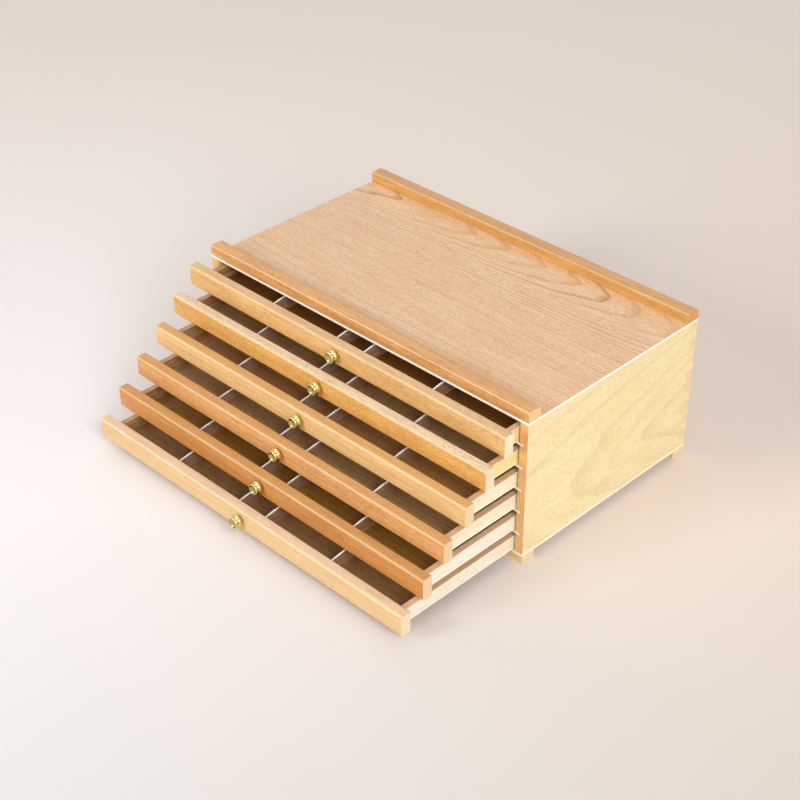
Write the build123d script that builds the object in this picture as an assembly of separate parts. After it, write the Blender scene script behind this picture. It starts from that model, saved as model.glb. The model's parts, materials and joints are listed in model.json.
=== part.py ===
from build123d import *

import os

# Tabletop wooden box with six shallow divided drawers, drawn part-way out in steps.
# Millimetres. +X is right seen from the front, +Y is the back, +Z is up. The origin is
# on the table, under the middle of the whole object as it stands with its drawers out.

# ---- case ----
case_width = 420.0
case_depth = 242.0
side_thickness = 9.0
back_thickness = 9.0
top_thickness = 2.5
bottom_thickness = 2.5
finger_count = 16  # fingers of the rear corner joints, back and side taking turns

lip_depth = 16.5
lip_height = 11.0
lip_rear_radius = 4.5  # top edge that faces the back, the same way round on both lips
lip_front_radius = 1.5

foot_width = 30.0
foot_depth = 17.0
foot_height = 8.0

# ---- runners: thin strips let into grooves in the sides ----
drawer_count = 6
slot_height = 22.0  # clear height over each runner
last_slot_height = 20.0  # clear height over the bottom panel, for the lowest drawer
runner_thickness = 2.5
groove_depth = 4.5
runner_reach = 7.5  # how far a runner goes in under the drawer's side

# ---- drawers ----
rest_openings = (18.0, 41.0, 66.0, 92.0, 117.0, 143.0)  # top drawer first
box_rear_clearance = 5.0  # behind the box when it is shut
box_side_clearance = 2.5  # beside the box, each side
box_headroom = 4.4  # over the box in the lowest slot
running_clearance = 0.2  # under the box
box_wall = 6.0
box_floor_thickness = 3.0
divider_thickness = 2.0
divider_rise = 1.8  # how far the dividers stand over the box's sides
divider_nose_length = 20.0  # the dividers' tops slope down towards the front board
divider_nose_drop = 3.0
narrow_bay = 34.0  # clear width of the middle bay
inner_bay = 86.0  # clear width of the bays beside it

front_thickness = 11.0
front_end_inset = 1.0  # front's end inside the case's outer face
front_gap = 2.5  # between two fronts when both are shut
front_top_clearance = 0.3  # from a front's top to the underside of the drawer above
front_face_radius = 2.5
front_back_radius = 1.0
shut_gap = 0.2  # between a shut front and the case

# ---- knobs, one to a front, each held by a screw from inside ----
knob_radius = 6.4
knob_rim_radius = 5.9
knob_waist_radius = 5.6
knob_base_radius = 4.2
knob_dish_radius = 4.6
knob_length = 8.5
knob_dish_depth = 0.9
screw_radius = 1.5
screw_bite = 4.5  # length of thread in the knob
screw_head_radius = 3.2
screw_head_height = 2.0
screw_hole_clearance = 0.2

# ---- sizes that follow ----
side_height = (
    (drawer_count - 1) * (slot_height + runner_thickness) + last_slot_height
)
inner_width = case_width - 2 * side_thickness
box_width = inner_width - 2 * box_side_clearance
bay_width_total = box_width - 2 * box_wall
box_length = case_depth - back_thickness + shut_gap - box_rear_clearance
box_wall_height = (
    last_slot_height - running_clearance - box_floor_thickness - box_headroom
)
divider_height = box_wall_height + divider_rise
front_width = case_width - 2 * front_end_inset
front_height = slot_height + runner_thickness - front_gap
groove_bottom_x = inner_width / 2 + groove_depth
runner_width = groove_depth + box_side_clearance + runner_reach
finger_height = side_height / finger_count

most_open = max(rest_openings)
front_y = (most_open + shut_gap + front_thickness + knob_length - case_depth) / 2
rear_y = front_y + case_depth
back_inner_y = rear_y - back_thickness
runner_length = back_inner_y - front_y

bottom_z = foot_height
sides_z = bottom_z + bottom_thickness
sides_top_z = sides_z + side_height
tray_z = sides_top_z + top_thickness


def block(x_range, y_range, z_range):
    """Box between two corners, given as three (low, high) pairs."""
    size = [high - low for low, high in (x_range, y_range, z_range)]
    middle = [(high + low) / 2 for low, high in (x_range, y_range, z_range)]
    return Pos(*middle) * Box(*size)


def slot_floor_z(index):
    """Height of the surface that a drawer slides on, counted from the top drawer."""
    if index == drawer_count - 1:
        return sides_z
    return sides_top_z - slot_height - index * (slot_height + runner_thickness)


def front_top_z(index):
    """Top of a front, which just passes under the drawer above it."""
    slot_top = sides_top_z - index * (slot_height + runner_thickness)
    return slot_top + runner_thickness + running_clearance - front_top_clearance


def bar_with_round_edges(x_range, y_range, z_range, edge_radii):
    """Bar along X; edge_radii gives (y, z, radius) for each rounded long edge."""
    bar = block(x_range, y_range, z_range)
    for y, z, radius in edge_radii:
        long_edges = [
            edge for edge in bar.edges().filter_by(Axis.X)
            if abs(edge.center().Y - y) < 1e-6 and abs(edge.center().Z - z) < 1e-6
        ]
        bar = fillet(long_edges, radius)
    return bar


def knob_profile_points():
    """Half section of the knob as (radius, distance out from the front's face)."""
    return (
        (0, 0),
        (knob_base_radius, 0),
        (knob_base_radius, 0.13 * knob_length),
        (0.5 * (knob_base_radius + knob_radius), 0.2 * knob_length),
        (knob_radius, 0.36 * knob_length),
        (knob_radius, 0.58 * knob_length),
        (knob_waist_radius, 0.72 * knob_length),
        (knob_rim_radius, 0.86 * knob_length),
        (knob_rim_radius - 0.3, knob_length),
        (knob_dish_radius + 0.3, knob_length),
        (knob_dish_radius, knob_length - 0.5 * knob_dish_depth),
        (0, knob_length - knob_dish_depth),
    )


def cylinder_along_y(radius, x, y_from, y_to, z):
    """Cylinder on a line along Y from y_from to y_to."""
    middle = Pos(x, (y_from + y_to) / 2, z)
    return middle * Rot(90, 0, 0) * Cylinder(radius, abs(y_to - y_from))


nodes = {}

# ---- case: sides with runner grooves, finger-jointed to the back ----
side_outer_x = case_width / 2
side_inner_x = inner_width / 2
for name, sign in (("side_left", -1), ("side_right", 1)):
    side_x = sorted((sign * side_inner_x, sign * side_outer_x))
    side = block(side_x, (front_y, rear_y), (sides_z, sides_top_z))
    for index in range(drawer_count - 1):
        top = slot_floor_z(index)
        groove_x = sorted((sign * side_inner_x, sign * groove_bottom_x))
        side -= block(groove_x, (front_y, back_inner_y), (top - runner_thickness, top))
    for finger in range(0, finger_count, 2):
        top = sides_top_z - finger * finger_height
        side -= block(side_x, (back_inner_y, rear_y), (top - finger_height, top))
    nodes[name] = side

back = block((-side_inner_x, side_inner_x), (back_inner_y, rear_y), (sides_z, sides_top_z))
for finger in range(0, finger_count, 2):
    top = sides_top_z - finger * finger_height
    full_x = (-side_outer_x, side_outer_x)
    back += block(full_x, (back_inner_y, rear_y), (top - finger_height, top))
nodes["back_panel"] = back

full_x = (-case_width / 2, case_width / 2)
nodes["top_panel"] = block(full_x, (front_y, rear_y), (sides_top_z, tray_z))
nodes["bottom_panel"] = block(full_x, (front_y, rear_y), (bottom_z, sides_z))

# ---- two lips that keep things on the top ----
lip_top_z = tray_z + lip_height
for name, y in (("front_lip", front_y), ("rear_lip", rear_y - lip_depth)):
    lip_edges = (
        (y, lip_top_z, lip_front_radius),
        (y + lip_depth, lip_top_z, lip_rear_radius),
    )
    lip_y = (y, y + lip_depth)
    nodes[name] = bar_with_round_edges(full_x, lip_y, (tray_z, lip_top_z), lip_edges)

# ---- feet: one block under each corner ----
feet = []
for sign in (-1, 1):
    foot_x = sorted((sign * case_width / 2, sign * (case_width / 2 - foot_width)))
    for foot_y in ((front_y, front_y + foot_depth), (rear_y - foot_depth, rear_y)):
        feet.append(block(foot_x, foot_y, (0, foot_height)))
nodes["feet"] = Compound(children=feet)

# ---- runners ----
runners = []
for index in range(drawer_count - 1):
    top = slot_floor_z(index)
    for sign in (-1, 1):
        runner_x = sorted((sign * groove_bottom_x, sign * (groove_bottom_x - runner_width)))
        runner_y = (front_y, front_y + runner_length)
        runners.append(block(runner_x, runner_y, (top - runner_thickness, top)))
nodes["runners"] = Compound(children=runners)

# ---- drawers ----
inner_divider_x = narrow_bay / 2 + divider_thickness / 2
outer_divider_x = inner_divider_x + divider_thickness + inner_bay
box_x = box_width / 2
bay_x = bay_width_total / 2

knob_axis_drop = front_height / 2
for index in range(drawer_count):
    tag = f"drawer_{index + 1}"
    floor_under_z = slot_floor_z(index) + running_clearance
    floor_top_z = floor_under_z + box_floor_thickness
    wall_top_z = floor_top_z + box_wall_height
    front_back_y = front_y - shut_gap - rest_openings[index]
    front_face_y = front_back_y - front_thickness
    box_end_y = front_back_y + box_length
    wall_z = (floor_top_z, wall_top_z)

    front_z = (front_top_z(index) - front_height, front_top_z(index))
    front = bar_with_round_edges(
        (-front_width / 2, front_width / 2),
        (front_face_y, front_back_y),
        front_z,
        [(front_face_y, z, front_face_radius) for z in front_z]
        + [(front_back_y, z, front_back_radius) for z in front_z],
    )
    axis_z = front_z[1] - knob_axis_drop
    hole_radius = screw_radius + screw_hole_clearance
    front -= cylinder_along_y(hole_radius, 0, front_face_y - 1, front_back_y + 1, axis_z)
    nodes[f"{tag}_front"] = front

    for name, sign in (("side_left", -1), ("side_right", 1)):
        wall_x = sorted((sign * bay_x, sign * box_x))
        nodes[f"{tag}_{name}"] = block(wall_x, (front_back_y, box_end_y), wall_z)
    bay_end_y = box_end_y - box_wall
    nodes[f"{tag}_back"] = block((-bay_x, bay_x), (bay_end_y, box_end_y), wall_z)
    nodes[f"{tag}_bottom"] = block(
        (-box_x, box_x), (front_back_y, box_end_y), (floor_under_z, floor_top_z)
    )
    divider_top_z = floor_top_z + divider_height
    divider_outline = (
        (front_back_y, floor_top_z),
        (front_back_y, divider_top_z - divider_nose_drop),
        (front_back_y + divider_nose_length, divider_top_z),
        (bay_end_y, divider_top_z),
        (bay_end_y, floor_top_z),
    )
    dividers = []
    for x in (-outer_divider_x, -inner_divider_x, inner_divider_x, outer_divider_x):
        corners = [(x - divider_thickness / 2, y, z) for y, z in divider_outline]
        face = make_face(Polyline(*corners, close=True))
        dividers.append(extrude(face, divider_thickness, dir=(1, 0, 0)))
    nodes[f"{tag}_dividers"] = Compound(children=dividers)

    profile = make_face(Polyline(*knob_profile_points(), close=True))
    knob = revolve(profile, Axis.Y, 360)
    knob = Pos(0, front_face_y, axis_z) * Rot(180, 0, 0) * knob
    thread_end_y = front_face_y - screw_bite
    knob -= cylinder_along_y(screw_radius, 0, front_face_y + 1, thread_end_y, axis_z)
    nodes[f"{tag}_knob"] = knob
    shank = cylinder_along_y(screw_radius, 0, front_back_y, thread_end_y, axis_z)
    head_end_y = front_back_y + screw_head_height
    head = cylinder_along_y(screw_head_radius, 0, front_back_y, head_end_y, axis_z)
    nodes[f"{tag}_knob_screw"] = shank + head

os.makedirs("parts", exist_ok=True)
for name, shape in nodes.items():
    export_step(shape, f"parts/{name}.step")
print(f"{len(nodes)} nodes, front_y {front_y:.2f}, top {lip_top_z:.2f}")
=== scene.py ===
"""Six-drawer wooden box for pastels: finishes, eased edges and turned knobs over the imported
frame."""
import json
import math

import bmesh
import bpy
from mathutils import Euler, Matrix, Vector

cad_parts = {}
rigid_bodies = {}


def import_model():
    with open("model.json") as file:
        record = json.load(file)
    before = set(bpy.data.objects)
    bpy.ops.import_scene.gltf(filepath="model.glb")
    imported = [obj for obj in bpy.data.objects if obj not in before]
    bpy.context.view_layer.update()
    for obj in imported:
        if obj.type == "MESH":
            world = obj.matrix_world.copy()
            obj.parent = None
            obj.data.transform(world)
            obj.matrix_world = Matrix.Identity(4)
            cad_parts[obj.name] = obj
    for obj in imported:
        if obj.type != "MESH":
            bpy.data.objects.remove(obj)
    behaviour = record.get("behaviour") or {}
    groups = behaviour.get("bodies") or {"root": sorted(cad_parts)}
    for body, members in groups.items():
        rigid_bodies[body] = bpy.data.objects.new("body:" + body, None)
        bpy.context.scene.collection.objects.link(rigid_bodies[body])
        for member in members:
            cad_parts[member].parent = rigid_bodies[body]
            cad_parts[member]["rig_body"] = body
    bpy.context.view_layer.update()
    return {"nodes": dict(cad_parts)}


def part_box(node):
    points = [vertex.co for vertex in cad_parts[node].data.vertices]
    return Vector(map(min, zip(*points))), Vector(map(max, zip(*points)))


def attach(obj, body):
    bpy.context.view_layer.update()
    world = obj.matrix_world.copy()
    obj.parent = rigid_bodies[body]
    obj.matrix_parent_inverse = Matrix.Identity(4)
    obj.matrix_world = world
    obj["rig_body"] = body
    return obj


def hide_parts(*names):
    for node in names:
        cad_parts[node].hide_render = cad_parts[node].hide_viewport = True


bl_info = {
    "name": "Pastel drawer box",
    "version": (1, 0, 0),
    "blender": (4, 5, 0),
    "location": "3D View > Sidebar > Pastel box",
    "description": "Dresses a six-drawer wooden box for pastels in beech, birch ply and brass",
    "category": "Object",
}

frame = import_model()

MM = 0.001
DRAWERS = range(1, 7)
# Sockets of a node that mixes colours, which share their names with others on it.
MIX_A, MIX_B, MIXED = 6, 7, 2
# Vertices nearer than this are joined, in metres.
WELD = 1e-6
# Edges flatter than the first are dissolved, than the second aren't eased, and than the third
# are shaded smooth.
FLAT, EASED, SMOOTH = math.radians(1), math.radians(50), math.radians(46)

# Sizes that a row of pieces in one node doesn't show in its box.
FOOT_WIDTH, FOOT_DEPTH, FOOT_EASING = 30 * MM, 17 * MM, 0.4 * MM
RUNNER_WIDTH, RUNNER_THICKNESS, RUNNER_EASING = 14.5 * MM, 2.5 * MM, 0.15 * MM
RUNNER_ROWS = 5
# From the middle of a drawer to the middle of an inner divider.
INNER_OFFSET = 18 * MM

# Name, place and width in metres, and power in watts.
LAMPS = (
    ("key_softbox", (-0.9, -3.3, 1.75), 1.3, 62),
    ("right_softbox", (2.85, -1.5, 2.25), 2.1, 94),
    ("rear_softbox", (-2.4, 2.25, 3.3), 3.0, 18),
)
LAMP_AIM = Vector((0, 0.05, 0.08))
# How bright the studio's wall looks, where 1 is white, and how much light it gives.
STUDIO_LEVEL, FILL_LEVEL = 0.9, 0.48
# Half the floor's width, and how far off it fades into the wall, in metres.
FLOOR_REACH, FADE_START, FADE_END = 30.0, 2.0, 5.0
# The photograph's camera, in metres and degrees, and its lens and sensor in millimetres.
CAMERA_PLACE, CAMERA_TURN = (0.94837, -0.94005, 0.97460), (55.5983, 0.1416, 44.6743)
CAMERA_LENS, CAMERA_SENSOR = 74.76, 36.0


def linear(code):
    """An sRGB hex colour as the linear RGBA that a shader socket takes."""
    channels = [int(code[i:i + 2], 16) / 255 for i in (1, 3, 5)]
    return [c / 12.92 if c <= 0.04045 else ((c + 0.055) / 1.055) ** 2.4 for c in channels] + [1.0]


def add(tree, kind, inputs=None, **settings):
    """Adds a node; settings are its fields, inputs are values or sockets to link from."""
    made = tree.nodes.new(kind)
    for field, value in settings.items():
        setattr(made, field, value)
    for name, value in (inputs or {}).items():
        if isinstance(value, bpy.types.NodeSocket):
            tree.links.new(value, made.inputs[name])
        else:
            made.inputs[name].default_value = value
    return made


# ---------------------------------------------------------------- materials

# Tones of each drawer's front and box, top drawer first: they are cut from different boards. A
# front's top tone is painted light, for how the light falls on its faces that look up.
FRONTS = (
    {"light": "#ECBC79", "dark": "#CF9F61", "top": "#E2BC8B", "end": "#F7F2D8", "flecks": 0.6},
    {"light": "#EDB463", "dark": "#CE974E", "top": "#F2E0C0", "end": "#F7EBBF", "flecks": 0.7},
    {"light": "#EEC486", "dark": "#DDB377", "top": "#DAA867", "end": "#F1DEB5", "flecks": 0.35},
    {"light": "#E8AE6C", "dark": "#CC9458", "top": "#D49E5F", "end": "#F3D2A9", "flecks": 0.55},
    {"light": "#D99752", "dark": "#C18143", "top": "#CE9956", "end": "#F2D5A8", "flecks": 0.5},
    {"light": "#E5C28C", "dark": "#DBB782", "top": "#EDCEAD", "end": "#F7E5C0", "flecks": 0.3},
)
# Each box's light and dark tones are for its right side, painted near-white as the light that
# falls on it; its left side and back take a warmer tone as painted shade.
BOXES = (
    {"light": "#FBE2A8", "dark": "#F2D596", "base": "#8F5C26"},
    {"light": "#F6EFB2", "dark": "#F6E29C", "base": "#C1955F"},
    {"light": "#F7F4DC", "dark": "#F7EAC6", "base": "#BC8852"},
    {"light": "#F7F3DC", "dark": "#F7E8C4", "base": "#C09764"},
    {"light": "#F7F5E8", "dark": "#F7EDD2", "base": "#B17E35"},
    {"light": "#F7F4E4", "dark": "#F7EACB", "base": "#AC8151"},
)
# How far along the grain each board's marks lie from the one before it, in millimetres, so that
# no two boards are alike.
BOARD_SHIFT = 37.0
# Marks in the wood: how many there are to a millimetre across the grain, how much fewer along
# it, and their detail and roughness.
MARKS = (
    # Bends in the growth rings, 33 mm wide and 280 mm long.
    (0.03, 0.12, 2.0, 0.5),
    # Streaks of colour, 8 mm wide and 70 mm long.
    (0.12, 0.12, 3.0, 0.6),
    # Fibres, 1.2 mm wide and 25 mm long: coarser than real ones, so that they show in the render.
    (0.8, 0.05, 3.0, 0.65),
    # Ray flecks, 0.8 mm wide and 5 mm long: twice the real ones, so that they show in the render.
    (1.2, 0.16, 2.0, 0.6),
)
# Share of the way along a knob's outline, from its neck to the hollow face, and how dark the brass
# is painted there, as painted shade and dark reflections.
PAINTED_KNOB_DARKS = ((0.1, 0.7), (0.2, 0.1), (0.34, 0.0), (0.41, 0.25), (0.46, 0.85), (0.52, 0.7),
           (0.58, 0.0), (0.7, 0.0), (0.76, 0.1), (0.8, 0.8), (0.88, 0.5))
# Tool marks on the brass, about four times the real feed, so that they show at all.
TOOL_MARK = 0.3 * MM
# Radians that a wave texture runs through in one unit at scale 1.
WAVE_SPEED = 20


def started(name):
    """A new material, with its tree, its shader and the coordinates of what it is on."""
    material = bpy.data.materials.new(name)
    material.use_nodes = True
    tree = material.node_tree
    return material, tree, tree.nodes["Principled BSDF"], add(tree, "ShaderNodeTexCoord").outputs


def wood(name, light, dark, end, top=None, fleck="#A8652F", along="X", sheet=None,
         heart=(0, 30, -70), tilt=0.0, swing=0.0, ring=3.2, wander=4.5, early=0.35,
         ring_strength=0.25, end_ring=2.2, end_strength=0.3, fleck_strength=0.5, gloss=0.42,
         edge_highlight=0.0, inside=None, shift=0):
    """Planed wood under a satin lacquer, with growth rings round a heart line, fibre streaks and
    short dark ray flecks along the grain. Cut ends, or a sheet's edges, take the colour end.

    The colour top is painted light for faces that look up, paler where it stands for the sheen off
    the lacquer, and inside is painted shade for the faces inside a drawer, on the side of X that
    they look to; a painted highlight can run along the eased edges below the top. The grain runs
    along one axis, and a sheet is thin along another.
    The heart is a point on the tree's middle line in millimetres, and tilt and swing turn that
    line. A ring and an end_ring are a year's growth in millimetres on a face and on a cut end,
    wander is how many rings the growth strays, and early is the share of a year before its late
    wood."""
    material, tree, shader, place = started(name)
    turn = Euler((0, -tilt, swing) if along == "X" else (tilt, 0, swing - math.pi / 2))
    origin = turn.to_matrix() @ Vector(heart)
    # Millimetres from here on, with the grain along X and the tree's heart on the X axis.
    log = add(tree, "ShaderNodeMapping", {
        "Vector": place["Object"], "Scale": (1 / MM, 1 / MM, 1 / MM), "Rotation": turn,
        "Location": (BOARD_SHIFT * shift - origin.x, -origin.y, -origin.z)}).outputs[0]
    marks = []
    for scale, shorter, detail, rough in MARKS:
        drawn = add(tree, "ShaderNodeVectorMath", {0: log, 1: (shorter, 1, 1)},
                    operation="MULTIPLY")
        noise = add(tree, "ShaderNodeTexNoise", {"Vector": drawn.outputs[0], "Scale": scale,
                                                 "Detail": detail, "Roughness": rough})
        marks.append(noise.outputs[0])
    bend, streak, fibre, ray = marks
    across = add(tree, "ShaderNodeVectorMath", {0: log, 1: (0, 1, 1)}, operation="MULTIPLY")
    radius = add(tree, "ShaderNodeVectorMath", {0: across.outputs[0]}, operation="LENGTH")
    bent = add(tree, "ShaderNodeMath",
               {0: bend, 1: wander * ring, 2: radius.outputs["Value"]}, operation="MULTIPLY_ADD")
    count = add(tree, "ShaderNodeMath", {0: bent.outputs[0], 1: ring}, operation="DIVIDE")
    year = add(tree, "ShaderNodeMath", {0: count.outputs[0]}, operation="FRACT")
    # Each year darkens slowly to its late wood and then stops short.
    late = add(tree, "ShaderNodeValToRGB", {0: year.outputs[0]})
    stops = late.color_ramp.elements
    stops[0].position, stops[0].color = early, (0, 0, 0, 1)
    stops[1].position, stops[1].color = 0.93, (1, 1, 1, 1)
    stops.new(1.0).color = (0, 0, 0, 1)
    # The two noises add up to about 1, and mostly keep within a fifth of it.
    both = add(tree, "ShaderNodeMath", {0: streak, 1: fibre}, operation="ADD")
    patch = add(tree, "ShaderNodeMapRange",
                {"Value": both.outputs[0], "From Min": 0.78, "From Max": 1.22}).outputs[0]
    tone = add(tree, "ShaderNodeMix", {0: patch, MIX_A: linear(light), MIX_B: linear(dark)},
               data_type="RGBA")
    # Some years show more than others.
    whole = add(tree, "ShaderNodeMath", {0: count.outputs[0]}, operation="FLOOR")
    weather = add(tree, "ShaderNodeTexWhiteNoise", {"W": whole.outputs[0]},
                  noise_dimensions="1D")
    faint = add(tree, "ShaderNodeMapRange",
                {"Value": weather.outputs["Value"], "To Min": 0.15 * ring_strength,
                 "To Max": ring_strength})
    lines = add(tree, "ShaderNodeMath", {0: late.outputs[0], 1: faint.outputs[0]},
                operation="MULTIPLY")
    ringed = add(tree, "ShaderNodeMix", {0: lines.outputs[0], MIX_A: tone.outputs[MIXED],
                                         MIX_B: linear(fleck)}, data_type="RGBA")
    # Only the noise's peaks are flecks.
    dashes = add(tree, "ShaderNodeMapRange", {"Value": ray, "From Min": 0.5, "From Max": 0.68,
                                              "To Max": fleck_strength})
    face = add(tree, "ShaderNodeMix", {0: dashes.outputs[0], MIX_A: ringed.outputs[MIXED],
                                       MIX_B: linear(fleck)}, data_type="RGBA").outputs[MIXED]
    facing = add(tree, "ShaderNodeSeparateXYZ", {0: place["Normal"]}).outputs
    if top:
        # Painted light: faces that look up take the top tone, standing for how the light and the
        # lacquer's sheen fall on them, with fainter marks.
        upward_sheen = add(tree, "ShaderNodeMapRange", {"Value": facing["Z"], "From Min": 0.45,
                                                  "From Max": 0.9, "To Max": 0.85})
        dotted = add(tree, "ShaderNodeMath", {0: dashes.outputs[0], 1: 0.5}, operation="MULTIPLY")
        grained = add(tree, "ShaderNodeMath", {0: patch, 1: 0.28, 2: dotted.outputs[0]},
                      operation="MULTIPLY_ADD")
        tinted = add(tree, "ShaderNodeMix", {0: grained.outputs[0], MIX_A: linear(top),
                                             MIX_B: linear(fleck)}, data_type="RGBA")
        face = add(tree, "ShaderNodeMix",
                   {0: upward_sheen.outputs[0], MIX_A: face, MIX_B: tinted.outputs[MIXED]},
                   data_type="RGBA").outputs[MIXED]
    if inside:
        # Painted shade: faces inside the drawer, on the side of X given, are painted a darker
        # brown for the shade that falls there.
        shade, side = inside
        inner = add(tree, "ShaderNodeMapRange", {"Value": facing["X"], "From Min": 0.5 * side,
                                                 "From Max": 0.9 * side, "To Max": 0.9})
        painted_inner_shade = add(tree, "ShaderNodeMix", {0: patch, MIX_A: linear(shade),
                                            MIX_B: linear(fleck)}, data_type="RGBA")
        face = add(tree, "ShaderNodeMix",
                   {0: inner.outputs[0], MIX_A: face, MIX_B: painted_inner_shade.outputs[MIXED]},
                   data_type="RGBA").outputs[MIXED]
    if edge_highlight:
        # Painted highlight: the eased edges between an upright face and the top are painted
        # lighter, as a thin line of light along them.
        edge = add(tree, "ShaderNodeValToRGB", {0: facing["Z"]})
        highlight_stops = edge.color_ramp.elements
        highlight_stops[0].position, highlight_stops[0].color = 0.15, (0, 0, 0, 1)
        highlight_stops[1].position, highlight_stops[1].color = 0.6, (edge_highlight, edge_highlight, edge_highlight, 1)
        highlight_stops.new(0.95).color = (0, 0, 0, 1)
        face = add(tree, "ShaderNodeMix",
                   {0: edge.outputs[0], MIX_A: face, MIX_B: linear("#FBE9C6")},
                   data_type="RGBA").outputs[MIXED]
    # A face that looks along the grain is a cut end, and one that looks along a sheet its edge.
    square = add(tree, "ShaderNodeMath", {0: facing[sheet or along]}, operation="ABSOLUTE")
    uncut, sawn = (0.9, 0.6) if sheet else (0.6, 0.9)
    cut = add(tree, "ShaderNodeMapRange", {"Value": square.outputs[0], "From Min": uncut,
                                           "From Max": sawn})
    close = add(tree, "ShaderNodeMath", {0: bent.outputs[0], 1: end_ring}, operation="DIVIDE")
    cell = add(tree, "ShaderNodeMath", {0: close.outputs[0]}, operation="FRACT")
    band = add(tree, "ShaderNodeMapRange", {"Value": cell.outputs[0], "From Min": 0.45,
                                            "From Max": 0.95, "To Max": end_strength})
    ends = add(tree, "ShaderNodeMix",
               {0: band.outputs[0], MIX_A: linear(end), MIX_B: linear(fleck)}, data_type="RGBA")
    seen = add(tree, "ShaderNodeMix",
               {0: cut.outputs[0], MIX_A: face, MIX_B: ends.outputs[MIXED]}, data_type="RGBA")
    tree.links.new(seen.outputs[MIXED], shader.inputs["Base Color"])
    sheen = add(tree, "ShaderNodeMapRange", {"Value": streak, "To Min": gloss - 0.06,
                                             "To Max": gloss + 0.1})
    tree.links.new(sheen.outputs[0], shader.inputs["Roughness"])
    relief = add(tree, "ShaderNodeBump", {"Height": ray, "Strength": 0.25, "Distance": 0.1 * MM})
    tree.links.new(relief.outputs[0], shader.inputs["Normal"])
    shader.inputs["IOR"].default_value = 1.5
    return material


def brass(name, colour):
    """Turned and polished brass: a pale yellow metal with sharp reflections, broken up by fine
    tool rings and an uneven polish, with painted shade and dark reflections at the neck, in the
    groove and round the hollow face."""
    material, tree, shader, place = started(name)
    rings = add(tree, "ShaderNodeTexWave",
                {"Vector": place["Object"], "Scale": 2 * math.pi / TOOL_MARK / WAVE_SPEED,
                 "Distortion": 0.4}, bands_direction="Y")
    # The polish changes every 2.5 mm.
    patina = add(tree, "ShaderNodeTexNoise", {"Vector": place["Object"], "Scale": 0.4 / MM,
                                              "Detail": 3.0})
    polished = add(tree, "ShaderNodeMix", {0: patina.outputs[0], MIX_A: list(colour),
                                           MIX_B: linear("#E2D288")}, data_type="RGBA")
    # Painted shade and dark reflections at the neck, in the groove and round the hollow face.
    turned = add(tree, "ShaderNodeAttribute", attribute_name="turned_share")
    painted_darks = add(tree, "ShaderNodeValToRGB", {0: turned.outputs["Fac"]})
    stops = painted_darks.color_ramp.elements
    stops[0].position, stops[0].color = 0.0, (1, 1, 1, 1)
    stops[1].position, stops[1].color = 1.0, (0.5, 0.5, 0.5, 1)
    for spot, level in PAINTED_KNOB_DARKS:
        stops.new(spot).color = (level, level, level, 1)
    metal = add(tree, "ShaderNodeMix", {0: painted_darks.outputs[0], MIX_A: polished.outputs[MIXED],
                                        MIX_B: linear("#86602A")}, data_type="RGBA")
    tree.links.new(metal.outputs[MIXED], shader.inputs["Base Color"])
    polish = add(tree, "ShaderNodeMapRange", {"Value": patina.outputs[0], "To Min": 0.1,
                                              "To Max": 0.22})
    tree.links.new(polish.outputs[0], shader.inputs["Roughness"])
    relief = add(tree, "ShaderNodeBump", {"Height": rings.outputs[1], "Strength": 0.15,
                                          "Distance": 0.03 * MM})
    tree.links.new(relief.outputs[0], shader.inputs["Normal"])
    shader.inputs["Metallic"].default_value = 1.0
    return material


def zinc(name):
    """Zinc-plated steel screw: a cool grey metal, with a slightly cloudy plating."""
    material, tree, shader, place = started(name)
    # Clouds 1.2 mm across.
    cloud = add(tree, "ShaderNodeTexNoise", {"Vector": place["Object"], "Scale": 0.8 / MM,
                                             "Detail": 2.0})
    plating = add(tree, "ShaderNodeMix", {0: cloud.outputs[0], MIX_A: linear("#C9CBCC"),
                                          MIX_B: linear("#A9AAA6")}, data_type="RGBA")
    tree.links.new(plating.outputs[MIXED], shader.inputs["Base Color"])
    dull = add(tree, "ShaderNodeMapRange", {"Value": cloud.outputs[0], "To Min": 0.3,
                                            "To Max": 0.45})
    tree.links.new(dull.outputs[0], shader.inputs["Roughness"])
    shader.inputs["Metallic"].default_value = 1.0
    return material


# ---------------------------------------------------------------- geometry helpers

def pour(shape, mesh):
    """Writes a shape into a mesh and lets go of it."""
    shape.to_mesh(mesh)
    shape.free()
    return mesh


def eased(node, finish, easing):
    """A merged copy of a CAD board with its sharp edges taken off, standing for the board."""
    source = frame["nodes"][node]
    bare = bpy.data.meshes.new(node + "_bare")
    bare.from_pydata([v.co for v in source.data.vertices], [],
                     [list(p.vertices) for p in source.data.polygons])
    shape = bmesh.new()
    shape.from_mesh(bare)
    bmesh.ops.remove_doubles(shape, verts=shape.verts, dist=WELD)
    bmesh.ops.dissolve_limit(shape, angle_limit=FLAT, verts=shape.verts, edges=shape.edges)
    piece = bpy.data.objects.new(node + "_board", pour(shape, bare))
    bpy.context.scene.collection.objects.link(piece)
    bevel = piece.modifiers.new("Eased edges", "BEVEL")
    bevel.limit_method, bevel.angle_limit = "ANGLE", EASED
    bevel.width, bevel.segments = easing * MM, 2
    return settle(piece, source["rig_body"], finish, [node])


def settle(piece, body, finish, nodes):
    """Turns a piece's modifiers into its own mesh, smooths it, and fixes it to its body."""
    bare = piece.data
    depsgraph = bpy.context.evaluated_depsgraph_get()
    mesh = bpy.data.meshes.new_from_object(piece.evaluated_get(depsgraph))
    piece.modifiers.clear()
    piece.data = mesh
    bpy.data.meshes.remove(bare)
    mesh.name = piece.name
    mesh.materials.clear()
    mesh.materials.append(finish)
    mesh.polygons.foreach_set("use_smooth", [True] * len(mesh.polygons))
    mesh.set_sharp_from_angle(angle=SMOOTH)
    weighted = piece.modifiers.new("Flat faces stay flat", "WEIGHTED_NORMAL")
    weighted.keep_sharp = True
    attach(piece, body)
    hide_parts(*nodes)
    return piece


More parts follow.
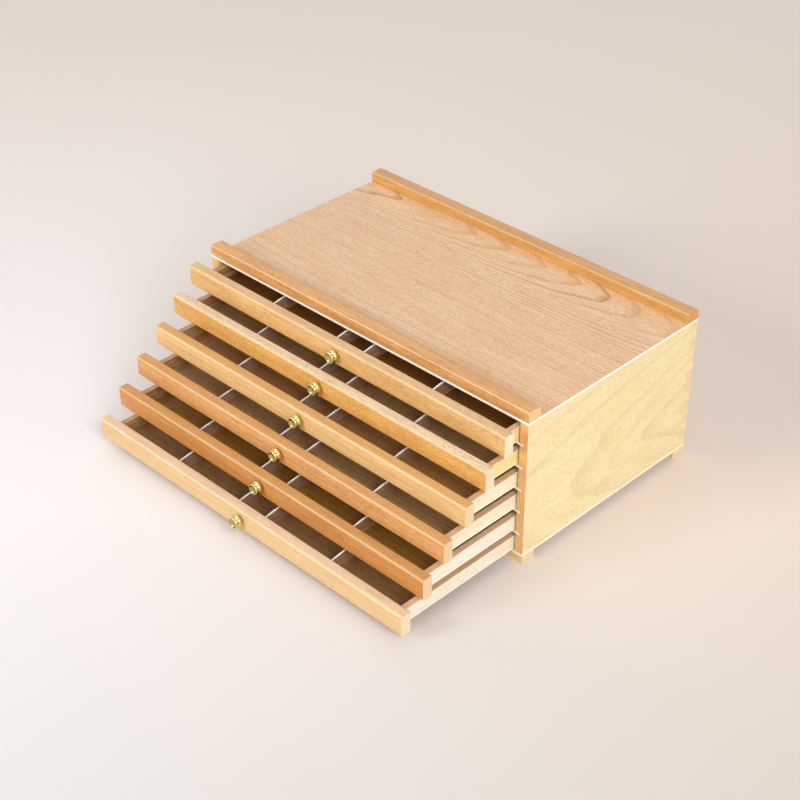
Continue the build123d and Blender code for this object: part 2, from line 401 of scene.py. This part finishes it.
class Tree:
    """A geometry node tree with named inputs, ending in Realize Instances and Set Material."""

    def __init__(self, name, lengths=(), counts=()):
        self.tree = bpy.data.node_groups.new(name, "GeometryNodeTree")
        face = self.tree.interface
        face.new_socket("Geometry", in_out="INPUT", socket_type="NodeSocketGeometry")
        for label in lengths:
            face.new_socket(label, in_out="INPUT", socket_type="NodeSocketFloat")
        for label in counts:
            face.new_socket(label, in_out="INPUT", socket_type="NodeSocketInt")
        face.new_socket("Finish", in_out="INPUT", socket_type="NodeSocketMaterial")
        face.new_socket("Geometry", in_out="OUTPUT", socket_type="NodeSocketGeometry")
        self.given = add(self.tree, "NodeGroupInput").outputs

    def set_out(self, groups):
        """Sets the blank out on the points of every group."""
        points = add(self.tree, "GeometryNodeJoinGeometry")
        for group in groups:
            self.tree.links.new(group.outputs[0], points.inputs[0])
        placed = add(self.tree, "GeometryNodeInstanceOnPoints",
                     {"Points": points.outputs[0], "Instance": self.given["Geometry"]})
        return self.close(placed.outputs[0])

    def close(self, geometry):
        """Ends the tree: real geometry with its material."""
        real = add(self.tree, "GeometryNodeRealizeInstances", {0: geometry})
        painted = add(self.tree, "GeometryNodeSetMaterial",
                      {0: real.outputs[0], "Material": self.given["Finish"]})
        add(self.tree, "NodeGroupOutput", {0: painted.outputs[0]})
        return self.tree


def grow(name, tree, values, body, finish, nodes, blank=None):
    """Runs a node tree on a blank mesh and keeps the result as a plain mesh on one body."""
    mesh = blank or bpy.data.meshes.new(name + "_blank")
    piece = bpy.data.objects.new(name, mesh)
    bpy.context.scene.collection.objects.link(piece)
    modifier = piece.modifiers.new(tree.name, "NODES")
    modifier.node_group = tree
    sockets = {s.name: s.identifier for s in tree.interface.items_tree if s.in_out == "INPUT"}
    for label, value in {**values, "Finish": finish}.items():
        modifier[sockets[label]] = value
    return settle(piece, body, finish, nodes)


def profile_mesh(name, outline, thickness, easing):
    """A board cut to an outline of (y, z) points and centred on X = 0."""
    shape = bmesh.new()
    left, right = [[shape.verts.new((side * thickness / 2, y, z)) for y, z in outline]
                   for side in (-1, 1)]
    for face in (left, right):
        shape.faces.new(face)
    for index in range(len(outline)):
        shape.faces.new((left[index - 1], left[index], right[index], right[index - 1]))
    bmesh.ops.recalc_face_normals(shape, faces=shape.faces)
    bmesh.ops.bevel(shape, geom=list(shape.edges), offset=easing, segments=1, affect="EDGES")
    return pour(shape, bpy.data.meshes.new(name))


def block_mesh(name, size, easing):
    """A block with eased edges, centred on the origin."""
    shape = bmesh.new()
    bmesh.ops.create_cube(shape, size=1, matrix=Matrix.Diagonal((*size, 1)))
    bmesh.ops.bevel(shape, geom=list(shape.edges), offset=easing, segments=2, affect="EDGES")
    return pour(shape, bpy.data.meshes.new(name))


def divider_tree():
    """Four dividers from one: a pair each side of the middle."""
    t = Tree("Bay dividers", lengths=("Inner Offset", "Outer Offset"))
    pair = add(t.tree, "GeometryNodeJoinGeometry")
    for label in ("Inner Offset", "Outer Offset"):
        spot = add(t.tree, "ShaderNodeCombineXYZ", {0: t.given[label]})
        point = add(t.tree, "GeometryNodePoints", {"Count": 1, "Position": spot.outputs[0]})
        t.tree.links.new(point.outputs[0], pair.inputs[0])
    other = add(t.tree, "GeometryNodeTransform", {0: pair.outputs[0], "Scale": (-1, 1, 1)})
    return t.set_out((pair, other))


def ladder_tree():
    """Strips set out at an even pitch down both sides of the case."""
    t = Tree("Runner strips", lengths=("Half Span", "Top", "Pitch"), counts=("Rows",))
    first = add(t.tree, "ShaderNodeCombineXYZ", {0: t.given["Half Span"], 2: t.given["Top"]})
    down = add(t.tree, "ShaderNodeMath", {0: t.given["Pitch"], 1: -1.0}, operation="MULTIPLY")
    step = add(t.tree, "ShaderNodeCombineXYZ", {2: down.outputs[0]})
    right = add(t.tree, "GeometryNodeMeshLine",
                {"Count": t.given["Rows"], "Start Location": first.outputs[0],
                 "Offset": step.outputs[0]})
    left = add(t.tree, "GeometryNodeTransform", {0: right.outputs[0], "Scale": (-1, 1, 1)})
    return t.set_out((right, left))


def corner_tree():
    """One block at each corner of the base."""
    t = Tree("Corner blocks", lengths=("Span", "Depth", "Middle", "Height"))
    corners = add(t.tree, "GeometryNodeMeshGrid",
                  {"Size X": t.given["Span"], "Size Y": t.given["Depth"], "Vertices X": 2,
                   "Vertices Y": 2})
    place = add(t.tree, "ShaderNodeCombineXYZ", {1: t.given["Middle"], 2: t.given["Height"]})
    moved = add(t.tree, "GeometryNodeTransform",
                {0: corners.outputs[0], "Translation": place.outputs[0]})
    return t.set_out((moved,))


def turned_tree(name, profile):
    """Turned work on an axis along Y, which reaches out from its face towards the front. The
    profile's points are (share of the largest radius, share of the length out from the face)."""
    t = Tree(name, lengths=("Radius", "Length", "Face", "Axis Height"), counts=("Sides", "Steps"))
    tree = t.tree
    grid = add(tree, "GeometryNodeMeshGrid", {"Size X": 1.0, "Size Y": 1.0,
                                              "Vertices X": t.given["Sides"],
                                              "Vertices Y": t.given["Steps"]})
    here = add(tree, "GeometryNodeInputPosition")
    spot = add(tree, "ShaderNodeSeparateXYZ", {0: here.outputs[0]})
    angle = add(tree, "ShaderNodeMath", {0: spot.outputs[0], 1: 2 * math.pi}, operation="MULTIPLY")
    along = add(tree, "ShaderNodeMath", {0: spot.outputs[1], 1: 0.5}, operation="ADD")
    marked = add(tree, "GeometryNodeStoreNamedAttribute",
                 {"Geometry": grid.outputs["Mesh"], "Name": "turned_share",
                  "Value": along.outputs[0]}, data_type="FLOAT", domain="POINT")
    shares = []
    for axis in (0, 1):
        curve = add(tree, "ShaderNodeFloatCurve", {"Value": along.outputs[0]})
        points = curve.mapping.curves[0].points
        for index, point in enumerate(profile):
            place = index / (len(profile) - 1)
            if 0 < index < len(profile) - 1:
                points.new(place, point[axis])
        points[0].location = (0.0, profile[0][axis])
        points[len(profile) - 1].location = (1.0, profile[-1][axis])
        for point in points:
            point.handle_type = "VECTOR"
        curve.mapping.update()
        shares.append(curve.outputs[0])
    radius = add(tree, "ShaderNodeMath", {0: shares[0], 1: t.given["Radius"]},
                 operation="MULTIPLY")
    out = add(tree, "ShaderNodeMath", {0: shares[1], 1: t.given["Length"]}, operation="MULTIPLY")
    wide, high = [
        add(tree, "ShaderNodeMath", {0: add(tree, "ShaderNodeMath", {0: angle.outputs[0]},
                                            operation=turn).outputs[0],
                                     1: radius.outputs[0]}, operation="MULTIPLY")
        for turn in ("COSINE", "SINE")]
    ahead = add(tree, "ShaderNodeMath", {0: t.given["Face"], 1: out.outputs[0]},
                operation="SUBTRACT")
    level = add(tree, "ShaderNodeMath", {0: high.outputs[0], 1: t.given["Axis Height"]},
                operation="ADD")
    place = add(tree, "ShaderNodeCombineXYZ",
                {0: wide.outputs[0], 1: ahead.outputs[0], 2: level.outputs[0]})
    turned = add(tree, "GeometryNodeSetPosition",
                 {0: marked.outputs[0], "Position": place.outputs[0]})
    closed = add(tree, "GeometryNodeMergeByDistance", {0: turned.outputs[0], "Distance": WELD})
    return t.close(closed.outputs[0])


def turn_piece(name, tree, body, finish, node, sides, steps):
    """Turned work that fills its node's box in the frame, with its faces outwards."""
    low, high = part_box(node)
    values = {"Radius": (high.x - low.x) / 2, "Length": high.y - low.y, "Face": high.y,
              "Axis Height": (low.z + high.z) / 2, "Sides": sides + 1, "Steps": steps + 1}
    piece = grow(name, tree, values, body, finish, [node])
    shape = bmesh.new()
    shape.from_mesh(piece.data)
    bmesh.ops.recalc_face_normals(shape, faces=shape.faces)
    pour(shape, piece.data)


# ---------------------------------------------------------------- settings

class PastelBoxSizes(bpy.types.PropertyGroup):
    """Sizes of the details that the looks add to the frame."""
    easing: bpy.props.FloatProperty(
        name="Edge easing", description="Rounding of the boards' sawn edges, in millimetres",
        default=0.35, min=0.05, max=1.0)
    box_easing: bpy.props.FloatProperty(
        name="Box easing", description="Rounding of the drawer boxes' edges, in millimetres",
        default=0.18, min=0.05, max=1.0)
    ply_easing: bpy.props.FloatProperty(
        name="Ply easing", description="Rounding of the ply's edges, in millimetres",
        default=0.1, min=0.05, max=0.5)
    nose_length: bpy.props.FloatProperty(
        name="Divider nose", description="Length over which a divider's top slopes down",
        default=20 * MM, subtype="DISTANCE", unit="LENGTH")
    nose_drop: bpy.props.FloatProperty(
        name="Nose drop", description="How far a divider's top slopes down",
        default=3 * MM, subtype="DISTANCE", unit="LENGTH")
    divider_thickness: bpy.props.FloatProperty(
        name="Divider thickness", description="Thickness of the bays' dividers",
        default=2 * MM, subtype="DISTANCE", unit="LENGTH")
    knob_sides: bpy.props.IntProperty(
        name="Knob sides", description="Faces round a knob", default=64, min=16, max=256)
    screw_sides: bpy.props.IntProperty(
        name="Screw sides", description="Faces round a knob's screw", default=32, min=16,
        max=128)


class PastelBoxColours(bpy.types.PropertyGroup):
    """Colours of the fittings."""
    brass: bpy.props.FloatVectorProperty(
        name="Brass", description="Colour of the knobs", subtype="COLOR", size=4,
        default=linear("#EFE3A4"), min=0, max=1)
    floor: bpy.props.FloatVectorProperty(
        name="Floor", description="Colour of the studio floor", subtype="COLOR", size=4,
        default=linear("#F4EFEE"), min=0, max=1)


class Building:
    """What every building operator shares."""
    bl_options = {"REGISTER", "UNDO"}


class PASTELBOX_OT_case(Building, bpy.types.Operator):
    """Dresses the case's two sides, back, top and bottom"""
    bl_idname = "pastelbox.case"
    bl_label = "Case"

    def execute(self, context):
        sizes = context.scene.pastel_sizes
        # Beech boards, planed and sprayed with satin lacquer: pale, with soft arches and dashes.
        sides = wood("beech_sides_satin_lacquer", "#F7EABD", "#F7E0A9", "#F7C080",
                     fleck="#BE8347", along="Y", heart=(90, 20, 60), swing=0.12, ring=7.0,
                     wander=2.0, ring_strength=0.2, end_ring=2.4, end_strength=0.6,
                     fleck_strength=0.28)
        # The same beech cut straighter, so that it shows even lines.
        back = wood("beech_back_satin_lacquer", "#FBE4B3", "#F4D69C", "#F7D6AC",
                    fleck="#CF9A58", heart=(0, 300, 20), ring=5.0, ring_strength=0.2,
                    fleck_strength=0.4)
        for node in ("side_left", "side_right"):
            eased(node, sides, sizes.easing)
        eased("back_panel", back, sizes.easing)
        # Plywood with a beech face, sanded and lacquered: thin dark growth lines on a matt tan,
        # and a white edge. The heart line lies under the rear lip and sinks to the right, which
        # draws the arches.
        top = wood("beech_faced_ply_top", "#EDC79D", "#E3B78C", "#FFFCF2", fleck="#AE7F55",
                   sheet="Z", heart=(0, 171, 92), tilt=0.061, swing=0.034, ring=2.9, wander=2.5,
                   early=0.62, ring_strength=0.95, end_strength=0, fleck_strength=0.55, gloss=0.46)
        # Bare birch plywood: pale and plain, with a white edge.
        base = wood("birch_ply_base", "#EBD9B8", "#DDC498", "#FFFCF2", fleck="#B98F5C",
                    sheet="Z", heart=(0, 60, -90), ring=7.0, end_strength=0, fleck_strength=0.25)
        eased("top_panel", top, sizes.ply_easing)
        eased("bottom_panel", base, sizes.ply_easing)
        return {"FINISHED"}


class PASTELBOX_OT_lips(Building, bpy.types.Operator):
    """Dresses the two lips on the top"""
    bl_idname = "pastelbox.lips"
    bl_label = "Lips"

    def execute(self, context):
        easing = context.scene.pastel_sizes.easing
        # Planed beech strips under lacquer: warm orange, with a painted highlight along the eased
        # edges below the top, and the rear lip's top painted its own tone as the light on it.
        front = wood("beech_front_lip_satin_lacquer", "#EDB26F", "#D0975A", "#F2D094",
                     heart=(0, 60, 120), ring_strength=0.35, edge_highlight=0.4, shift=1)
        rear = wood("beech_rear_lip_satin_lacquer", "#DFAB61", "#C4914E", "#E1A156",
                    top="#DAA165", heart=(0, 260, 90), ring_strength=0.35, edge_highlight=0.3, shift=2)
        eased("front_lip", front, easing)
        eased("rear_lip", rear, easing)
        return {"FINISHED"}


class PASTELBOX_OT_feet(Building, bpy.types.Operator):
    """Sets a block foot under each corner of the case"""
    bl_idname = "pastelbox.feet"
    bl_label = "Feet"

    def execute(self, context):
        low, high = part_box("feet")
        size = Vector((FOOT_WIDTH, FOOT_DEPTH, high.z - low.z))
        # Sawn beech blocks under lacquer: light, with little figure, and pushed paler still as
        # painted light against the shade under the drawers.
        finish = wood("beech_feet_satin_lacquer", "#F7D79E", "#F7D789", "#F7DCAE",
                      heart=(0, 0, 30), ring_strength=0.15)
        values = {"Span": high.x - low.x - size.x, "Depth": high.y - low.y - size.y,
                  "Middle": (low.y + high.y) / 2, "Height": (low.z + high.z) / 2}
        grow("block_feet", corner_tree(), values, "case", finish, ["feet"],
             block_mesh("foot_blank", size, FOOT_EASING))
        return {"FINISHED"}


class PASTELBOX_OT_runners(Building, bpy.types.Operator):
    """Lets five runner strips into each side of the case"""
    bl_idname = "pastelbox.runners"
    bl_label = "Runners"

    def execute(self, context):
        low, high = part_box("runners")
        # Sawn birch plywood: nearly white, so that the strips' ends show on the case as dashes.
        finish = wood("birch_ply_runners", "#F4E6C8", "#E8D3AA", "#FFFEF8", fleck="#B98F5C",
                      along="Y", heart=(0, 0, -40), end_strength=0, fleck_strength=0.25)
        blank = block_mesh("runner_blank", (RUNNER_WIDTH, high.y - low.y, RUNNER_THICKNESS),
                           RUNNER_EASING)
        blank.transform(Matrix.Translation((0, (low.y + high.y) / 2, 0)))
        values = {"Half Span": high.x - RUNNER_WIDTH / 2, "Top": high.z - RUNNER_THICKNESS / 2,
                  "Pitch": (high.z - low.z - RUNNER_THICKNESS) / (RUNNER_ROWS - 1),
                  "Rows": RUNNER_ROWS}
        grow("runner_strips", ladder_tree(), values, "case", finish, ["runners"],
             blank)
        return {"FINISHED"}


class PASTELBOX_OT_fronts(Building, bpy.types.Operator):
    """Dresses the six drawer fronts, each cut from its own board"""
    bl_idname = "pastelbox.fronts"
    bl_label = "Drawer fronts"

    def execute(self, context):
        easing = context.scene.pastel_sizes.easing
        # The heart lies under each front at its own distance behind it, in millimetres, which
        # gives each its own figure.
        for index, tones, behind in zip(DRAWERS, FRONTS, (60, 35, -8, 4, -14, 10)):
            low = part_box(f"drawer_{index}_front")[0] / MM
            # Planed beech under lacquer, each from its own board: fibres and dashes run across the
            # face, and the ends show nearly level growth lines. The top tone is painted light and
            # the eased top edges carry a painted highlight.
            finish = wood(f"beech_front_{index}_satin_lacquer", tones["light"], tones["dark"],
                          tones["end"], tones["top"], heart=(0, low.y + behind, low.z - 45),
                          ring_strength=0.3, end_ring=2.1, end_strength=0.42,
                          fleck_strength=tones["flecks"], edge_highlight=0.32, shift=index)
            eased(f"drawer_{index}_front", finish, easing)
        return {"FINISHED"}


class PASTELBOX_OT_boxes(Building, bpy.types.Operator):
    """Dresses the sides, back and bottom of the six drawers' boxes"""
    bl_idname = "pastelbox.boxes"
    bl_label = "Drawer boxes"

    def execute(self, context):
        sizes = context.scene.pastel_sizes
        for index, tones in zip(DRAWERS, BOXES):
            cut = {"end": "#EBC79A", "top": "#F2BE92", "fleck": "#C99A64", "shift": index,
                   "heart": (0, 150, 60 * index), "ring": 5.0, "ring_strength": 0.15,
                   "fleck_strength": 0.3}
            # Thin planed beech: the right sides painted near-white as the light that falls on
            # them, the left sides and backs a warmer tone as painted shade, the left sides' inner
            # faces painted browner still as shade, and each top its own tone as painted light.
            right = wood(f"beech_box_{index}_right_side", tones["light"], tones["dark"],
                         along="Y", **cut)
            left = wood(f"beech_box_{index}_left_side", "#E9BE90", "#DDAE7C", along="Y",
                        inside=("#7A583C", 1), **{**cut, "top": "#CFA176"})
            rear = wood(f"beech_box_{index}_back", "#E9BE90", "#DDAE7C", **cut)
            # Thin plywood, dark brown: partly the ply's own tone and partly painted shade of the
            # deep bays, with fine lines along the grain.
            base = wood(f"ply_bottom_{index}", tones["base"], tones["base"], tones["light"],
                        fleck="#3E2A17", sheet="Z", heart=(0, 40 * index - 300, 60), ring=2.6,
                        wander=3.0, ring_strength=0.7, end_strength=0, shift=index)
            eased(f"drawer_{index}_side_right", right, sizes.box_easing)
            eased(f"drawer_{index}_side_left", left, sizes.box_easing)
            eased(f"drawer_{index}_back", rear, sizes.box_easing)
            eased(f"drawer_{index}_bottom", base, sizes.ply_easing)
        return {"FINISHED"}


class PASTELBOX_OT_dividers(Building, bpy.types.Operator):
    """Sets four ply dividers in each drawer"""
    bl_idname = "pastelbox.dividers"
    bl_label = "Dividers"

    def execute(self, context):
        sizes = context.scene.pastel_sizes
        # Sawn birch plywood: brown faces, partly the ply's own tone and partly painted shade
        # inside the bays, and a white top edge.
        finish = wood("birch_ply_dividers", "#AE886A", "#8F6C52", "#FFFDF6", fleck="#5E4230",
                      along="Y", sheet="X", heart=(0, 0, -60), end_strength=0,
                      fleck_strength=0.3)
        tree = divider_tree()
        for index in DRAWERS:
            node = f"drawer_{index}_dividers"
            low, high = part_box(node)
            outline = [(low.y, low.z), (low.y, high.z - sizes.nose_drop),
                       (low.y + sizes.nose_length, high.z), (high.y, high.z), (high.y, low.z)]
            blank = profile_mesh(node + "_blank", outline, sizes.divider_thickness,
                                 sizes.ply_easing * MM)
            values = {"Inner Offset": INNER_OFFSET,
                      "Outer Offset": high.x - sizes.divider_thickness / 2}
            grow(f"drawer_{index}_divider_set", tree, values, f"drawer_{index}",
                 finish, [node], blank)
        return {"FINISHED"}


class PASTELBOX_OT_knobs(Building, bpy.types.Operator):
    """Turns a brass knob for each drawer front"""
    bl_idname = "pastelbox.knobs"
    bl_label = "Knobs"

    def execute(self, context):
        sides = context.scene.pastel_sizes.knob_sides
        finish = brass("turned_polished_brass", context.scene.pastel_colours.brass)
        # Neck, collar, groove, rolled rim and a hollow face.
        profile = ((0, 0), (0.656, 0), (0.656, 0.1), (0.78, 0.14), (0.93, 0.2), (0.99, 0.28),
                   (1.0, 0.36), (1.0, 0.48), (0.985, 0.55), (0.92, 0.61), (0.82, 0.65),
                   (0.77, 0.69), (0.77, 0.73), (0.84, 0.77), (0.89, 0.82), (0.9, 0.89),
                   (0.885, 0.95), (0.84, 0.99), (0.78, 1.0), (0.73, 0.99), (0.69, 0.95),
                   (0.6, 0.89), (0.45, 0.84), (0.25, 0.81), (0, 0.8))
        tree = turned_tree("Turned knob", profile)
        for index in DRAWERS:
            turn_piece(f"drawer_{index}_turned_knob", tree, f"drawer_{index}",
                       finish, f"drawer_{index}_knob", sides, 4 * (len(profile) - 1))
        return {"FINISHED"}


class PASTELBOX_OT_screws(Building, bpy.types.Operator):
    """Turns the screw that holds each knob from inside the drawer"""
    bl_idname = "pastelbox.screws"
    bl_label = "Knob screws"

    def execute(self, context):
        sides = context.scene.pastel_sizes.screw_sides
        finish = zinc("zinc_plated_steel_screws")
        # Domed head at the inside end, then the shank.
        profile = ((0, 0), (0.3, 0.004), (0.7, 0.03), (0.95, 0.07), (1.0, 0.1), (1.0, 0.114),
                   (0.469, 0.114), (0.469, 0.985), (0.42, 1.0), (0, 1.0))
        tree = turned_tree("Turned screw", profile)
        for index in DRAWERS:
            turn_piece(f"drawer_{index}_turned_screw", tree, f"drawer_{index}",
                       finish, f"drawer_{index}_knob_screw", sides, 2 * (len(profile) - 1))
        return {"FINISHED"}


def looked_at(tree):
    """A socket that is 1 where something is looked at, straight, mirrored or through glass, and
    0 where it only gives light."""
    ray = add(tree, "ShaderNodeLightPath").outputs
    seen = add(tree, "ShaderNodeMath", {0: ray["Is Camera Ray"], 1: ray["Is Glossy Ray"]},
               operation="MAXIMUM")
    return add(tree, "ShaderNodeMath", {0: seen.outputs[0], 1: ray["Is Transmission Ray"]},
               operation="MAXIMUM").outputs[0]


def backdrop(name, colour):
    """Matt backdrop paper: it has no shine, so that only soft shadows show on it."""
    paper, tree, shader, place = started(name)
    # Painted shadow: the paper is painted lighter on the left and in front, seen by the camera,
    # and darker to the right and behind, for the soft shadow that the case casts there.
    turned = add(tree, "ShaderNodeMapping", {"Vector": place["Object"],
                                             "Rotation": (0, 0, math.radians(-45))})
    apart = add(tree, "ShaderNodeSeparateXYZ", {0: turned.outputs[0]}).outputs
    side = add(tree, "ShaderNodeMapRange", {"Value": apart["X"], "From Min": -0.35,
                                            "From Max": 0.6})
    across = add(tree, "ShaderNodeMix", {0: side.outputs[0], MIX_A: list(colour),
                                         MIX_B: linear("#E6D4C5")}, data_type="RGBA")
    depth = add(tree, "ShaderNodeMapRange", {"Value": apart["Y"], "From Max": 1.1})
    far = add(tree, "ShaderNodeMix", {0: depth.outputs[0], MIX_A: across.outputs[MIXED],
                                      MIX_B: linear("#F0E3D8")}, data_type="RGBA")
    # Painted shade: it is painted darker towards the camera, where the front lamp is nearest, to
    # hold back that lamp's extra light.
    near = add(tree, "ShaderNodeMapRange", {"Value": apart["Y"], "From Min": -0.1,
                                            "From Max": -0.45})
    shaded = add(tree, "ShaderNodeMix", {0: near.outputs[0], MIX_A: far.outputs[MIXED],
                                         MIX_B: linear("#EBEDEC")},
                 data_type="RGBA", blend_type="MULTIPLY")
    tree.links.new(shaded.outputs[MIXED], shader.inputs["Base Color"])
    shader.inputs["Roughness"].default_value = 0.9
    shader.inputs["Specular IOR Level"].default_value = 0.1
    # Past the lamps' reach, what looks at the paper sees it fade into the studio's wall.
    reached = add(tree, "ShaderNodeVectorMath", {0: place["Object"]}, operation="LENGTH")
    gone = add(tree, "ShaderNodeMapRange", {"Value": reached.outputs["Value"],
                                            "From Min": FADE_START, "From Max": FADE_END})
    faded = add(tree, "ShaderNodeMath", {0: gone.outputs[0], 1: looked_at(tree)},
                operation="MULTIPLY")
    wall = add(tree, "ShaderNodeEmission", {"Color": linear("#FFFFFF"),
                                            "Strength": STUDIO_LEVEL})
    end = add(tree, "ShaderNodeMixShader", {0: faded.outputs[0], 1: shader.outputs[0],
                                            2: wall.outputs[0]})
    tree.links.new(end.outputs[0], tree.nodes["Material Output"].inputs["Surface"])
    return paper


class PASTELBOX_OT_studio(Building, bpy.types.Operator):
    """Sets the floor, the soft lamps and the camera"""
    bl_idname = "pastelbox.studio"
    bl_label = "Studio"

    def execute(self, context):
        scene = context.scene
        floor = bpy.data.meshes.new("studio_floor")
        floor.from_pydata([(FLOOR_REACH * x, FLOOR_REACH * y, 0)
                           for x, y in ((-1, -1), (1, -1), (1, 1), (-1, 1))],
                          [], [(0, 1, 2, 3)])
        floor.materials.append(backdrop("pale_backdrop_paper", scene.pastel_colours.floor))
        ground = bpy.data.objects.new("studio_floor", floor)
        scene.collection.objects.link(ground)

        # A white room, which looks brighter than the light that it gives.
        world = bpy.data.worlds.new("soft_studio")
        world.use_nodes = True
        sky = world.node_tree
        level = add(sky, "ShaderNodeMapRange", {"Value": looked_at(sky), "To Min": FILL_LEVEL,
                                                "To Max": STUDIO_LEVEL})
        back = sky.nodes["Background"]
        back.inputs["Color"].default_value = linear("#FFFFFF")
        sky.links.new(level.outputs[0], back.inputs["Strength"])
        scene.world = world

        for name, spot, width, power in LAMPS:
            light = bpy.data.lights.new(name, "AREA")
            light.size, light.energy = width, power
            lamp = bpy.data.objects.new(name, light)
            lamp.location = spot
            aim = LAMP_AIM - Vector(spot)
            lamp.rotation_mode = "QUATERNION"
            lamp.rotation_quaternion = aim.to_track_quat("-Z", "Y")
            scene.collection.objects.link(lamp)

        lens = bpy.data.cameras.new("camera")
        lens.lens, lens.sensor_width = CAMERA_LENS, CAMERA_SENSOR
        camera = bpy.data.objects.new("camera", lens)
        camera.location = CAMERA_PLACE
        camera.rotation_euler = [math.radians(a) for a in CAMERA_TURN]
        scene.collection.objects.link(camera)
        scene.camera = camera
        scene.view_settings.view_transform = "Standard"
        return {"FINISHED"}


class PASTELBOX_PT_build(bpy.types.Panel):
    """Lists the box's pieces in the sidebar"""
    bl_label = "Pastel box"
    bl_idname = "PASTELBOX_PT_build"
    bl_space_type = "VIEW_3D"
    bl_region_type = "UI"
    bl_category = "Pastel box"

    def draw(self, context):
        for group in (context.scene.pastel_sizes, context.scene.pastel_colours):
            for label in group.__annotations__:
                self.layout.prop(group, label)
        for operator in OPERATORS:
            self.layout.operator(operator.bl_idname)


OPERATORS = (
    PASTELBOX_OT_case, PASTELBOX_OT_lips, PASTELBOX_OT_feet, PASTELBOX_OT_runners,
    PASTELBOX_OT_fronts, PASTELBOX_OT_boxes, PASTELBOX_OT_dividers, PASTELBOX_OT_knobs,
    PASTELBOX_OT_screws, PASTELBOX_OT_studio,
)
CLASSES = (PastelBoxSizes, PastelBoxColours, *OPERATORS, PASTELBOX_PT_build)


def register():
    """Adds the settings, the operators and the panel to Blender."""
    for cls in CLASSES:
        bpy.utils.register_class(cls)
    bpy.types.Scene.pastel_sizes = bpy.props.PointerProperty(type=PastelBoxSizes)
    bpy.types.Scene.pastel_colours = bpy.props.PointerProperty(type=PastelBoxColours)


def unregister():
    """Takes them out again."""
    del bpy.types.Scene.pastel_colours
    del bpy.types.Scene.pastel_sizes
    for cls in reversed(CLASSES):
        bpy.utils.unregister_class(cls)


def main():
    """Registers the add-on and builds every piece in order."""
    register()
    for operator in OPERATORS:
        group, name = operator.bl_idname.split(".")
        getattr(getattr(bpy.ops, group), name)()


if __name__ == "__main__":
    main()
